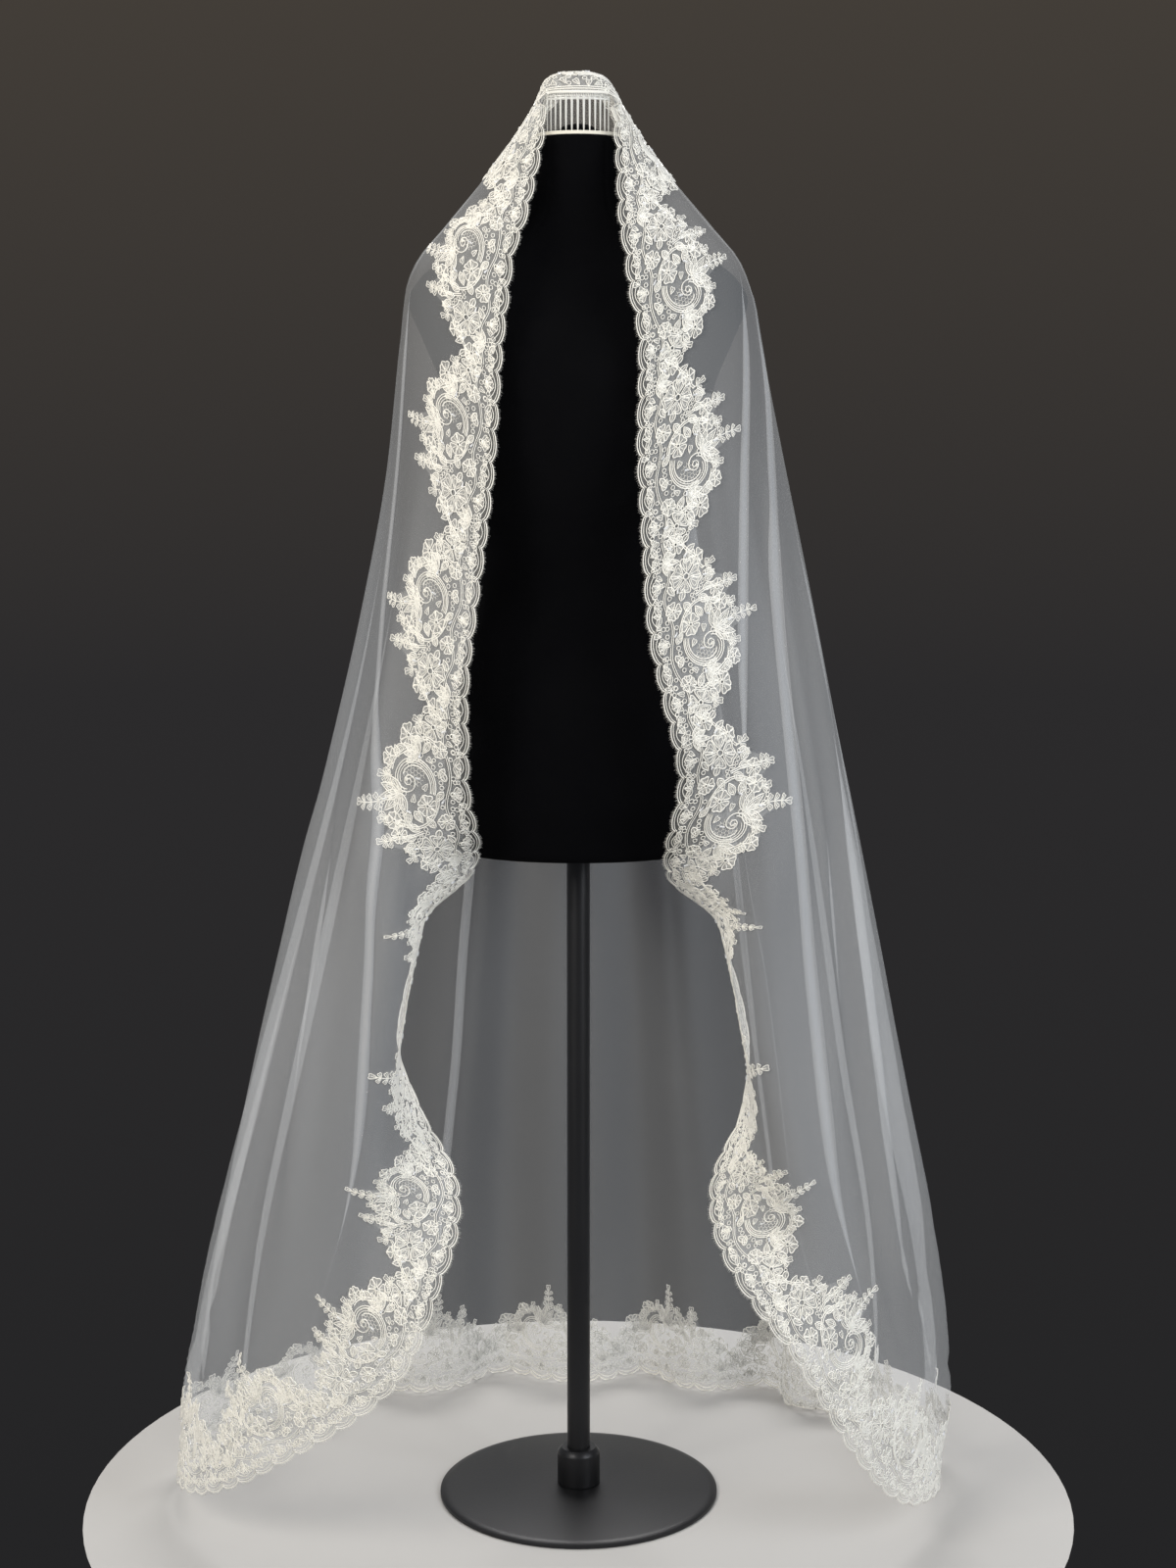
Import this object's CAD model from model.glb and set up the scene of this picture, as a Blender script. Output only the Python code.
# Looks of the bridal veil on its dress form: tulle, corded lace, comb, velvet form and stand.
import math
import random

import bpy
import numpy as np
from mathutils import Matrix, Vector


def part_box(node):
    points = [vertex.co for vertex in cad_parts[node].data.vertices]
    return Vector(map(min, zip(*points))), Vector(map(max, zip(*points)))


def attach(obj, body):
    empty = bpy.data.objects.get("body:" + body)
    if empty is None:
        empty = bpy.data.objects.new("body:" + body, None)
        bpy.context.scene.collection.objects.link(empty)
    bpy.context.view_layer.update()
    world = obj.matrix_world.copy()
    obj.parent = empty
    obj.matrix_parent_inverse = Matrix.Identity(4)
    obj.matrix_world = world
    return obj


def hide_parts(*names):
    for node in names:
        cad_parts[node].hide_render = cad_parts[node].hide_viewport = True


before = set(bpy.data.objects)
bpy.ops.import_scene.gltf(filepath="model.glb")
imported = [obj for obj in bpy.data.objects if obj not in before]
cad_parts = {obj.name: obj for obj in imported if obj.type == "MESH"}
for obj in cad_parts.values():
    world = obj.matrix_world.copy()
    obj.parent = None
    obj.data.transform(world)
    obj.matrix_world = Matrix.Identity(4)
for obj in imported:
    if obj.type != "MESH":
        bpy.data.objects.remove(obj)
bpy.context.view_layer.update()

# The hanging surface, with the same sizes as the solids
HEM_CLEARANCE = 0.0012
CROWN_FLAT_REACH = 0.056
CROWN_BLEND = 0.016
COMB_EDGE_HEIGHT = 1.6690
COMB_EDGE_ANGLE = 57.0
LACE_REPEAT = 0.20
LACE_REACH = 0.20
CHART_STEP = 0.005
CHART_ROW_STEP = 0.005
HEADING_POINTS = 24
CORNER_ROUNDING = 0.012
BORDER_SPACING = 0.004
EDGE_START_HEIGHT = 1.655
COMB_STRAIGHT = 0.042
LACE_JOINS = (0.065, 0.290, 0.500, 0.710, 0.935)
LACE_NAMES = ("lace_left_front", "lace_left_hem", "lace_right_hem", "lace_right_front", "lace_crown")

# Soft creases placed by hand: from one angle and height to another, half width and depth in metres
CREASE_COLUMNS = ("angle_start", "height_start", "angle_end", "height_end", "half_width", "depth")
CREASES = (
    (-60.0, 1.38, -52.0, 0.55, 0.012, 0.004),
    (-88.0, 1.4, -70.0, 0.3, 0.016, 0.006),
    (-97.0, 1.2, -84.0, 0.25, 0.014, -0.005),
    (-64.0, 1.6, -72.0, 1.44, 0.007, 0.003),
    (-85.0, 1.58, -84.0, 1.45, 0.008, -0.003),
    (-48.0, 0.33, -62.0, 0.16, 0.01, 0.006),
    (-58.0, 0.36, -74.0, 0.12, 0.009, -0.005),
    (-72.0, 0.3, -88.0, 0.1, 0.012, 0.007),
    (-90.0, 0.34, -100.0, 0.08, 0.01, 0.005),
    (-105.0, 0.28, -112.0, 0.05, 0.009, -0.005),
    (60.0, 1.3, 58.0, 0.4, 0.01, 0.004),
    (76.0, 1.15, 84.0, 0.35, 0.018, 0.007),
    (96.0, 1.1, 104.0, 0.3, 0.014, 0.005),
    (58.0, 0.4, 74.0, 0.16, 0.008, 0.006),
    (66.0, 0.34, 88.0, 0.12, 0.009, -0.005),
    (52.0, 0.36, 60.0, 0.18, 0.007, 0.005),
    (84.0, 0.26, 98.0, 0.06, 0.01, 0.005),
    (100.0, 0.34, 110.0, 0.08, 0.012, -0.005),
    (62.0, 1.62, 70.0, 1.44, 0.007, 0.0035),
    (82.0, 1.6, 86.0, 1.44, 0.009, -0.003),
    (-110.0, 1.42, -112.0, 0.3, 0.013, 0.005),
    (-132.0, 1.3, -134.0, 0.15, 0.012, -0.004),
    (-155.0, 1.36, -157.0, 0.1, 0.013, 0.004),
    (178.0, 1.34, 179.0, 0.12, 0.012, -0.004),
    (160.0, 1.3, 158.0, 0.1, 0.011, 0.004),
    (138.0, 1.38, 137.0, 0.12, 0.012, 0.005),
    (115.0, 1.4, 114.0, 0.2, 0.013, -0.004),
    (-126.0, 0.3, -130.0, 0.02, 0.01, 0.005),
    (-150.0, 0.26, -152.0, 0.02, 0.009, -0.004),
    (175.0, 0.3, 176.0, 0.02, 0.01, 0.005),
    (155.0, 0.24, 153.0, 0.02, 0.009, 0.004),
    (132.0, 0.28, 131.0, 0.02, 0.01, -0.005),
)

# Pressed pleats, where the tulle lies in three layers: the angle of each one by height
PLEAT_NAMES = ("left_side", "left_back", "right_back", "right_outer", "right_inner")
PLEAT_COLUMNS = ("height",) + PLEAT_NAMES
PLEAT_PATHS = (
    (1.5, -74.0, -150.0, 150.0, 88.0, 72.0),
    (1.42, -73.0, -150.0, 150.0, 84.0, 66.0),
    (1.25, -71.0, -151.0, 149.0, 66.0, 51.0),
    (1.12, -66.0, -152.0, 149.0, 56.0, 43.5),
    (1.0, -59.0, -153.0, 148.0, 53.0, 39.0),
    (0.8, -48.0, -154.0, 147.0, 50.0, 35.5),
    (0.67, -43.0, -154.0, 147.0, 48.5, 37.0),
    (0.46, -39.0, -155.0, 146.0, 47.5, 38.0),
    (0.25, -44.0, -155.0, 145.0, 53.0, 44.0),
    (0.12, -64.0, -156.0, 144.0, 70.0, 58.0),
    (0.05, -84.0, -156.0, 143.0, 84.0, 72.0),
    (0.0, -126.0, -157.0, 142.0, 124.0, 114.0),
)
PLEAT_RUN_COLUMNS = ("start_height", "end_height", "width")
PLEAT_RUNS = (
    (1.47, 0.36, 0.015),
    (1.35, 0.15, 0.012),
    (1.38, 0.12, 0.012),
    (1.48, 0.3, 0.018),
    (1.47, 0.86, 0.012),
)
CREASE_FADE = 0.1

# A pleat's layers: places across it from -1 to 1 and lifts in layer gaps, from its left edge on
PLEAT_LAYERS = ((0.0, 0.1), (1.0, 0.5), (0.0, 1.0), (-1.0, 1.5), (0.0, 2.0), (1.0, 2.4))
PLEAT_LAYER_GAP = 0.001
PLEAT_LEAST_WIDTH = 0.0004
PLEAT_FULL_WIDTH = 0.008
PLEAT_COUNT_HEIGHT = 0.25

# Tulle mesh, its rows closer below the fine height
TULLE_STOPS = (-155.0, 145.0)
TULLE_FINE_HEIGHT = 0.12
TULLE_EDGE_INSET = 0.010
TULLE_COLUMN_SPACING = 0.0075
TULLE_ROW_SPACING = 0.014
DOME_ROWS = 12
FRONT_ARC_COLUMNS = 26

# Lace work
FLOOR_CLEARANCE = 0.0009
CORD = 0.00078
FINE_CORD = 0.00052
EDGE_CORD = 0.00074
CORD_LIFT = 0.0013
FILL_LIFT = 0.0007
FILL_CROWN = 0.0008
FILL_SHOULDER = 0.00064
FILL_SHOULDER_SHARE = 0.55
VEIN_LIFT = 0.0016
VEIN_SHARES = (0.1, 0.4, 0.72)
NET_LIFT = 0.0004
LASH_LENGTH = 0.0045
LASH_SPACING = 0.0013
LASH_THICKNESS = 0.00026
LASH_LIFT = 0.001
LASH_TIP_LIFT = 0.0012
LASH_FAN = 50.0

# Free edge: scallops by share of a repeat, those wider than the shell width with shell petals,
# the others with leaves, each by turn and length, and rings by share of the width, inward and radius
SHELL_WIDTH = 0.032
SHELL_FOOT = 0.0195
SHELL_PETALS = ((-90.0, 0.0115), (-130.0, 0.011), (-50.0, 0.011))
SHELL_LEAVES = ((-28.0, 0.015), (-152.0, 0.0135))
SCALLOP_RINGS = ((0.1, 0.0125, 0.0023), (0.9, 0.0125, 0.0023), (0.0, 0.0175, 0.0025))
SCALLOP_FULLNESS = 0.6
RIM_GAP = 0.0026
BOW_FOOT = 0.015
BOW_RISE = 0.0092
SCALLOP_COLUMNS = ("start", "end", "depth")
SCALLOPS = (
    (0.0, 0.185, 0.0062),
    (0.185, 0.335, 0.0046),
    (0.335, 0.52, 0.0062),
    (0.52, 0.67, 0.0046),
    (0.67, 0.85, 0.006),
    (0.85, 1.0, 0.0046),
)

# Tube beads
BEAD_COLUMNS = ("along", "inward", "turn")
BEADS = (
    (0.014, 0.026, 70.0),
    (0.042, 0.056, 20.0),
    (0.07, 0.056, 100.0),
    (0.09, 0.029, 40.0),
    (0.106, 0.07, 120.0),
    (0.136, 0.038, 10.0),
    (0.148, 0.07, 95.0),
    (0.174, 0.048, 60.0),
    (0.19, 0.03, 140.0),
    (0.09, 0.096, 80.0),
)
BEAD_LENGTH = 0.0060
BEAD_RADIUS = 0.0011

# Net under the lace, and the leafy inner edge by share of the repeat
GROUND_SPACING = 0.004
GROUND_ROWS = 14
GROUND_INSET = 0.002
LENGTH_GAP = 0.00015
LEAF_EDGE = (
    (0.0, 0.048),
    (0.07, 0.066),
    (0.13, 0.086),
    (0.19, 0.078),
    (0.26, 0.104),
    (0.34, 0.108),
    (0.41, 0.104),
    (0.47, 0.14),
    (0.52, 0.106),
    (0.6, 0.098),
    (0.68, 0.116),
    (0.74, 0.09),
    (0.85, 0.074),
    (0.93, 0.052),
)

# Comb, with the same curve as the solid
COMB_TOP = 1.6725
COMB_HALF_ANGLE = 61.0
COMB_TEETH = 13
COMB_ROOT_SHARE = 0.70
COMB_INSET = 0.0019
COMB_FLATNESS = 0.62
COMB_TOOTH_RADIUS = 0.0016
COMB_TOOTH_TAPER = 0.58
COMB_TOOTH_DROP = 0.0015
COMB_BACK_BARS = ((1.6716, 0.0016), (1.6690, 0.0013), (1.6660, 0.0015))
WHIPPING_TURNS = 34
WHIPPING_RADIUS = 0.00035

# Straight cords of the lace over the comb: inward and radius
COMB_CORD_REACH = 0.036
COMB_CORDS = ((0.0016, 0.0021), (0.0056, CORD), (0.0082, CORD))

# Form and stand
FORM_COLUMNS = ("height", "half_width", "front", "back")
FORM_SECTIONS = (
    (0.8, 0.148, 0.104, 0.112),
    (0.87, 0.16, 0.114, 0.124),
    (0.95, 0.156, 0.11, 0.118),
    (1.04, 0.13, 0.094, 0.096),
    (1.1, 0.12, 0.088, 0.088),
    (1.18, 0.13, 0.098, 0.092),
    (1.28, 0.148, 0.116, 0.098),
    (1.34, 0.158, 0.114, 0.1),
    (1.4, 0.182, 0.092, 0.096),
    (1.44, 0.1972, 0.07, 0.082),
    (1.466, 0.184, 0.057, 0.066),
    (1.484, 0.162, 0.05, 0.057),
    (1.5, 0.125, 0.047, 0.053),
    (1.52, 0.084, 0.046, 0.051),
    (1.545, 0.06, 0.046, 0.049),
    (1.58, 0.053, 0.047, 0.047),
    (1.624, 0.052, 0.049, 0.049),
)
FORM_INSET = 0.0010
FORM_SEAMS = (-90.0, -38.0, 38.0, 90.0, 146.0, 180.0, -146.0)
FORM_SEAM_DEPTH = 0.0008
FORM_SEAM_WIDTH = 0.0022
FORM_SEAM_BEND = 0.25
COLLAR_FOOT = 0.034
LATHE_SIDES = 96

# Camera, lamps, floor and surround
CAMERA_PLACE = (0.0115, -3.0, 1.30)
CAMERA_TILT = 82.0
CAMERA_LENS = 58.70
SENSOR = 36.0
FLOOR_RADIUS = 0.60
AMBIENT = (0.20, 0.205, 0.215)

# Dark surround, from the bottom of the view up: share of the way and colour
SURROUND_SPAN = (-0.42, 0.16)
SURROUND = (
    (0.00, (0.018, 0.018, 0.019)),
    (0.55, (0.025, 0.024, 0.025)),
    (1.00, (0.056, 0.048, 0.040)),
)

# Lamps: name, place, target, width, height, power and colour
LAMPS = (
    ("key", (-2.2, -2.4, 2.6), (0.0, 0.0, 0.9), 1.6, 1.6, 110.0, (1.0, 0.965, 0.90)),
    ("fill", (2.4, -2.0, 1.9), (0.0, 0.0, 0.8), 1.6, 1.6, 78.0, (0.93, 0.965, 1.0)),
    ("back", (0.0, 1.8, 2.6), (0.0, 0.0, 1.1), 1.8, 1.0, 64.0, (1.0, 0.98, 0.95)),
)

# The motifs of one repeat, in metres along it and inward from its free edge, turns in degrees
BLOSSOM_COLUMNS = ("along", "inward", "radius", "petals", "turn")
BLOSSOMS = (
    (0.152, 0.05, 0.0185, 6, 12.0),
    (0.013, 0.042, 0.0135, 5, 80.0),
    (0.027, 0.073, 0.0115, 5, 20.0),
    (0.0985, 0.05, 0.011, 5, 50.0),
    (0.19, 0.0395, 0.0105, 5, 0.0),
    (0.113, 0.091, 0.0085, 5, 30.0),
    (0.036, 0.034, 0.0085, 5, 10.0),
    (0.118, 0.032, 0.009, 5, 64.0),
    (0.17, 0.064, 0.0085, 5, 33.0),
    (0.05, 0.096, 0.008, 5, 15.0),
    (0.129, 0.088, 0.009, 5, 50.0),
)
LILY_COLUMNS = ("along", "inward", "turn", "length", "petals", "spread")
LILIES = (
    (0.085, 0.08, 66.0, 0.029, 6, 150.0),
    (0.174, 0.024, 100.0, 0.02, 5, 130.0),
    (0.045, 0.06, 118.0, 0.021, 5, 120.0),
)
SPRAY_COLUMNS = ("along", "inward", "turn", "length", "pairs", "bend")
SPRAYS = (
    (0.093, 0.106, 84.0, 0.026, 3, 10.0),
    (0.133, 0.095, 78.0, 0.012, 2, 18.0),
    (0.068, 0.091, 84.0, 0.009, 2, 16.0),
    (0.156, 0.071, 82.0, 0.008, 1, -18.0),
    (0.012, 0.055, 96.0, 0.005, 1, 12.0),
    (0.108, 0.096, 60.0, 0.005, 1, 20.0),
)
LEAF_COLUMNS = ("along", "inward", "turn", "length", "width")
LEAVES = (
    (0.03, 0.056, 96.0, 0.013, 0.0075),
    (0.024, 0.058, 150.0, 0.014, 0.0075),
    (0.104, 0.072, 20.0, 0.017, 0.0085),
    (0.104, 0.066, 330.0, 0.015, 0.008),
    (0.126, 0.064, 120.0, 0.016, 0.0085),
    (0.133, 0.07, 80.0, 0.015, 0.008),
    (0.14, 0.074, 50.0, 0.016, 0.008),
    (0.152, 0.074, 120.0, 0.015, 0.008),
    (0.166, 0.05, 20.0, 0.015, 0.0075),
    (0.178, 0.052, 60.0, 0.013, 0.007),
    (0.124, 0.046, 150.0, 0.015, 0.008),
    (0.127, 0.042, 20.0, 0.014, 0.007),
    (0.03, 0.046, 30.0, 0.015, 0.0075),
    (0.0, 0.056, 230.0, 0.012, 0.007),
    (0.082, 0.03, 40.0, 0.015, 0.007),
    (0.07, 0.026, 150.0, 0.014, 0.007),
    (0.146, 0.028, 150.0, 0.013, 0.007),
    (0.004, 0.027, 30.0, 0.013, 0.007),
    (0.198, 0.027, 150.0, 0.013, 0.007),
    (0.056, 0.028, 30.0, 0.013, 0.0065),
    (0.038, 0.078, 60.0, 0.016, 0.008),
    (0.05, 0.084, 150.0, 0.013, 0.007),
    (0.196, 0.048, 250.0, 0.011, 0.0065),
    (0.117, 0.078, 100.0, 0.013, 0.007),
)
VINES = (
    (
        (0.0, 0.0235), (0.024, 0.031), (0.052, 0.0225), (0.072, 0.0215),
        (0.101, 0.029), (0.132, 0.022), (0.16, 0.03), (0.1966, 0.0235),
    ),
    ((0.086, 0.036), (0.1, 0.039), (0.114, 0.048), (0.122, 0.062), (0.12, 0.078), (0.113, 0.09)),
    ((0.2, 0.032), (0.192, 0.044), (0.18, 0.054), (0.17, 0.064), (0.16, 0.068), (0.156, 0.072)),
    ((0.03, 0.04), (0.026, 0.05), (0.03, 0.06), (0.028, 0.07)),
    ((0.128, 0.06), (0.132, 0.074), (0.132, 0.084), (0.133, 0.096)),
    ((0.062, 0.092), (0.052, 0.09), (0.046, 0.082), (0.04, 0.072), (0.038, 0.062)),
    ((0.085, 0.08), (0.089, 0.092), (0.093, 0.106)),
)
RING_ARC_COLUMNS = ("along", "inward", "radius", "start", "end", "count", "size")
RING_ARCS = (
    (0.062, 0.062, 0.0335, 60.0, 100.0, 6, 0.0021),
    (0.062, 0.062, 0.0335, 165.0, 235.0, 9, 0.002),
    (0.152, 0.05, 0.023, 95.0, 165.0, 7, 0.0019),
    (0.013, 0.042, 0.0175, 20.0, 130.0, 8, 0.0019),
    (0.119, 0.086, 0.013, 200.0, 260.0, 4, 0.002),
    (0.103, 0.094, 0.012, 40.0, 140.0, 6, 0.002),
)

# The big scroll, its strands closing in to a small ring, and the vines' two strands
SCROLL_START = (0.086, 0.04)
SCROLL_HEADING = 204.0
SCROLL_RADIUS = 0.0285
SCROLL_END_RADIUS = 0.0026
SCROLL_LENGTH = 0.165
SCROLL_STRANDS = 4
SCROLL_GAP = 0.003
SCROLL_STEPS = 44
SCROLL_CLOSING = 2.4
VINE_GAP = 0.0022

# Petals and leaves: the inner cord by shares of the outer one, how far petals stray in degrees,
# and the sizes from which a flower or a leaf has an inner cord or veins
INNER_START = 0.16
INNER_LENGTH = 0.66
INNER_WIDTH = 0.56
PETAL_STRAY = 8.0
WIDE_BLOSSOM = 0.013
VEINED_BLOSSOM = 0.0085
LONG_LEAF = 0.0145

# Leafy sprays: points of the stem, size and turn of the leaves, and the last leaf
SPRAY_POINTS = 6
SPRAY_LEAF = 0.0105
SPRAY_LEAF_TURN = 52.0
SPRAY_TIP = (0.011, 0.0066)

# Coarse net inside the scroll, within an ellipse
NET_MESH = 0.0046
NET_CENTRE = (0.064, 0.062)
NET_REACH = (0.015, 0.013)
NET_CORD = 0.00024
NET_SIDE_SHARE = 0.577

# Fillers between the motifs: where they are tried, and the room that a leaflet or a ring needs
FILLER_SEED = 7
FILLER_TRIES = 700
FILLER_SPAN = (0.01, 0.11)
FILLER_INSET = 0.008
FILLER_NET_RATIO = 1.2
FILLER_RING = 0.0023
LEAFLET_ROOM = 0.0052
LEAFLET_SIZE = (0.009, 0.0056)
LEAFLET_MIDDLE = 0.0042
RING_ROOM = 0.00292
RING_CLEARANCE = 0.0009

# Level sections of the hanging veil, half widths to each side and depths in front and behind,
# and the angle from the front centre at which each front edge hangs
SECTION_COLUMNS = ("height", "left", "right", "front", "back", "edge_left", "edge_right")
SECTIONS = (
    (1.6955, 0.0, 0.0, 0.0, 0.0, 57.0, 57.0),
    (1.694, 0.02, 0.018, 0.015, 0.02, 57.0, 57.0),
    (1.69, 0.033, 0.03, 0.022, 0.03, 57.0, 57.0),
    (1.68, 0.041, 0.039, 0.027, 0.037, 57.0, 57.0),
    (1.669, 0.045, 0.045, 0.031, 0.043, 56.0, 57.0),
    (1.64, 0.061, 0.062, 0.05, 0.06, 36.0, 40.0),
    (1.6, 0.09, 0.09, 0.07, 0.08, 27.0, 28.0),
    (1.52, 0.157, 0.158, 0.098, 0.104, 22.0, 17.0),
    (1.485, 0.186, 0.187, 0.108, 0.11, 22.0, 16.0),
    (1.455, 0.198, 0.199, 0.114, 0.114, 22.0, 16.0),
    (1.4, 0.204, 0.21, 0.128, 0.12, 23.5, 18.5),
    (1.25, 0.218, 0.241, 0.156, 0.142, 25.0, 16.0),
    (1.1, 0.244, 0.273, 0.178, 0.168, 27.0, 16.0),
    (0.9, 0.289, 0.313, 0.21, 0.208, 29.0, 20.0),
    (0.7, 0.339, 0.349, 0.238, 0.248, 13.0, 8.5),
    (0.5, 0.392, 0.384, 0.264, 0.288, 15.0, 15.0),
    (0.25, 0.456, 0.432, 0.296, 0.338, 25.0, 35.0),
    (0.12, 0.479, 0.443, 0.31, 0.358, 46.0, 47.0),
    (0.05, 0.488, 0.442, 0.316, 0.366, 66.0, 60.0),
    (0.0, 0.494, 0.441, 0.32, 0.372, 112.0, 104.0),
)

# Hanging folds: angle from the front centre, left negative, where each starts and at the hem
FOLD_COLUMNS = ("angle_top", "angle_hem", "half_width", "depth", "start_height")
FOLDS = (
    (-80.0, -40.0, 8.0, 0.016, 1.46),
    (-92.0, -64.0, 9.0, 0.014, 1.42),
    (-104.0, -99.0, 9.0, 0.018, 1.1),
    (-120.0, -122.0, 10.0, 0.028, 1.35),
    (-143.0, -145.0, 10.0, 0.032, 1.38),
    (-166.0, -168.0, 10.0, 0.028, 1.3),
    (170.0, 169.0, 9.0, 0.024, 1.25),
    (149.0, 147.0, 10.0, 0.034, 1.38),
    (126.0, 125.0, 10.0, 0.028, 1.35),
    (104.0, 104.0, 9.0, 0.02, 1.15),
    (80.0, 56.0, 7.0, 0.015, 1.46),
    (68.0, 41.0, 7.0, 0.01, 1.44),
    (92.0, 80.0, 9.0, 0.013, 1.0),
)

FOLD_GROWTH = 1.6

# How many degrees each front edge bends back into the hollow below the form
TURN_COLUMNS = ("height", "left", "right")
TURNS = (
    (1.1, 0.0, 0.0),
    (0.96, 10.0, 5.0),
    (0.86, 28.0, 20.0),
    (0.79, 62.0, 50.0),
    (0.72, 104.0, 98.0),
    (0.6, 112.0, 110.0),
    (0.5, 88.0, 96.0),
    (0.42, 42.0, 56.0),
    (0.34, 10.0, 18.0),
    (0.26, 0.0, 0.0),
)
TURN_REACH = 0.15
TURN_BEND = 0.050
TURN_ONSET_DEGREES = 12.0
STIFF_LACE_REACH = 0.165
STIFF_LACE_FADE = 0.120


def table(names, rows):
    """Turn rows of numbers into one array for each named column."""
    return {name: np.array([row[index] for row in rows], float) for index, name in enumerate(names)}


def named_rows(names, rows):
    """Each row of a table with its numbers under their column names."""
    return [dict(zip(names, row)) for row in rows]


def smooth_values(x, known_x, known_y):
    """A smooth curve through known points that never overshoots them."""
    x = np.clip(np.asarray(x, float), known_x[0], known_x[-1])
    spans = np.diff(known_x)
    rises = np.diff(known_y) / spans
    slopes = np.zeros(len(known_x))
    same_way = rises[:-1] * rises[1:] > 0.0
    weight_before = 2.0 * spans[1:] + spans[:-1]
    weight_after = spans[1:] + 2.0 * spans[:-1]
    before = np.where(same_way, rises[:-1], 1.0)
    after = np.where(same_way, rises[1:], 1.0)
    mean = (weight_before + weight_after) / (weight_before / before + weight_after / after)
    slopes[1:-1] = np.where(same_way, mean, 0.0)
    slopes[0] = rises[0]
    slopes[-1] = rises[-1]
    place = np.clip(np.searchsorted(known_x, x, side="right") - 1, 0, len(spans) - 1)
    span = spans[place]
    t = (x - known_x[place]) / span
    start = known_y[place] * (1.0 + 2.0 * t) * (1.0 - t) ** 2 + slopes[place] * span * t * (1.0 - t) ** 2
    end = known_y[place + 1] * t * t * (3.0 - 2.0 * t) + slopes[place + 1] * span * t * t * (t - 1.0)
    return start + end


def smooth_step(t):
    """0 below 0, 1 above 1 and a soft rise between."""
    t = np.clip(t, 0.0, 1.0)
    return t * t * (3.0 - 2.0 * t)


def unit_vectors(vectors):
    """The same directions, each of length one."""
    return vectors / np.linalg.norm(vectors, axis=-1, keepdims=True)


def left_of(directions):
    """Flat directions turned a quarter to the left."""
    return np.column_stack((-directions[:, 1], directions[:, 0]))


def wrapped(angle):
    """The same angle between -180 and 180 degrees."""
    return (angle + 180.0) % 360.0 - 180.0


SECTION = table(SECTION_COLUMNS, SECTIONS)
MEAN_RADIUS = (SECTION["left"] + SECTION["right"] + SECTION["front"] + SECTION["back"]) / 4.0
HANG = np.concatenate(
    ([0.0], np.cumsum(np.hypot(np.diff(MEAN_RADIUS), np.diff(SECTION["height"]))))
)
HANG_LENGTH = HANG[-1]
FOLD_LIST = named_rows(FOLD_COLUMNS, FOLDS)
CREASE_LIST = named_rows(CREASE_COLUMNS, CREASES)


def hang_at(height):
    """Length down the hanging line at which the veil reaches a height."""
    return smooth_values(-np.asarray(height, float), -SECTION["height"], HANG)


COMB_HANG = float(hang_at(COMB_EDGE_HEIGHT))


def by_hang(column, hang):
    """A section column read at a length down the hanging line."""
    return smooth_values(hang, HANG, SECTION[column])


def by_height(names, rows, column, height):
    """A column of a table that is listed from the top down."""
    known = table(names, rows)
    return smooth_values(-np.asarray(height, float), -known["height"], known[column])


def mean_radius(hang):
    """Mean radius of the hanging veil at a length down the hanging line."""
    return smooth_values(hang, HANG, MEAN_RADIUS)


def fan_ratio(hang):
    """Flat fan angle for each degree round the hanging veil."""
    drawn_in = mean_radius(hang) / np.maximum(hang, CROWN_FLAT_REACH)
    return 1.0 + (drawn_in - 1.0) * smooth_step((hang - CROWN_FLAT_REACH) / CROWN_BLEND)


def flat_point(angle, hang):
    """Flat sheet point of a signed angle from the front centre and a length down the hanging line."""
    side = np.where(angle < 0.0, -1.0, 1.0)
    turn = side * (180.0 - np.abs(angle)) * fan_ratio(hang)
    turn = np.radians(turn)
    return np.stack((hang * np.sin(turn), -hang * np.cos(turn)), axis=-1)


def drape_angle_and_hang(flat):
    """Signed angle from the front centre and hanging length of flat sheet points."""
    hang = np.hypot(flat[..., 0], flat[..., 1])
    turn = np.degrees(np.arctan2(flat[..., 0], -flat[..., 1]))
    around = np.abs(turn) / fan_ratio(hang)
    side = np.where(turn < 0.0, -1.0, 1.0)
    return side * (180.0 - around), hang


def fold_centre(fold, hang):
    """Angle of a fold's crest, and how far down its own run, at a length down the hanging line."""
    start = hang_at(fold["start_height"])
    fall = (hang - start) / (HANG_LENGTH - start)
    turn = fold["angle_hem"] - fold["angle_top"]
    return fold["angle_top"] + turn * np.clip(fall, 0.0, 1.0), fall


def by_side(kind, angle, hang):
    """A section column that each side has of its own, read on the side that each angle is on."""
    return np.where(angle < 0.0, by_hang(kind + "left", hang), by_hang(kind + "right", hang))


def past_edge(angle, hang):
    """Length round the hanging veil from the front edge on the same side."""
    return np.radians(np.abs(angle) - by_side("edge_", angle, hang)) * mean_radius(hang)


def fold_offset(angle, hang):
    """How far the folds move the cloth outward; they fade out in the stiff lace of the front edges."""
    offset = np.zeros_like(angle)
    for fold in FOLD_LIST:
        centre, fall = fold_centre(fold, hang)
        across = np.clip(wrapped(angle - centre) / fold["half_width"], -2.0, 2.0)
        wave = np.cos(np.pi * across) * np.cos(np.pi * across / 4.0) ** 2
        offset += wave * fold["depth"] * smooth_step(fall * FOLD_GROWTH) ** 0.7
    return offset * smooth_step((past_edge(angle, hang) - STIFF_LACE_REACH) / STIFF_LACE_FADE)


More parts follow.
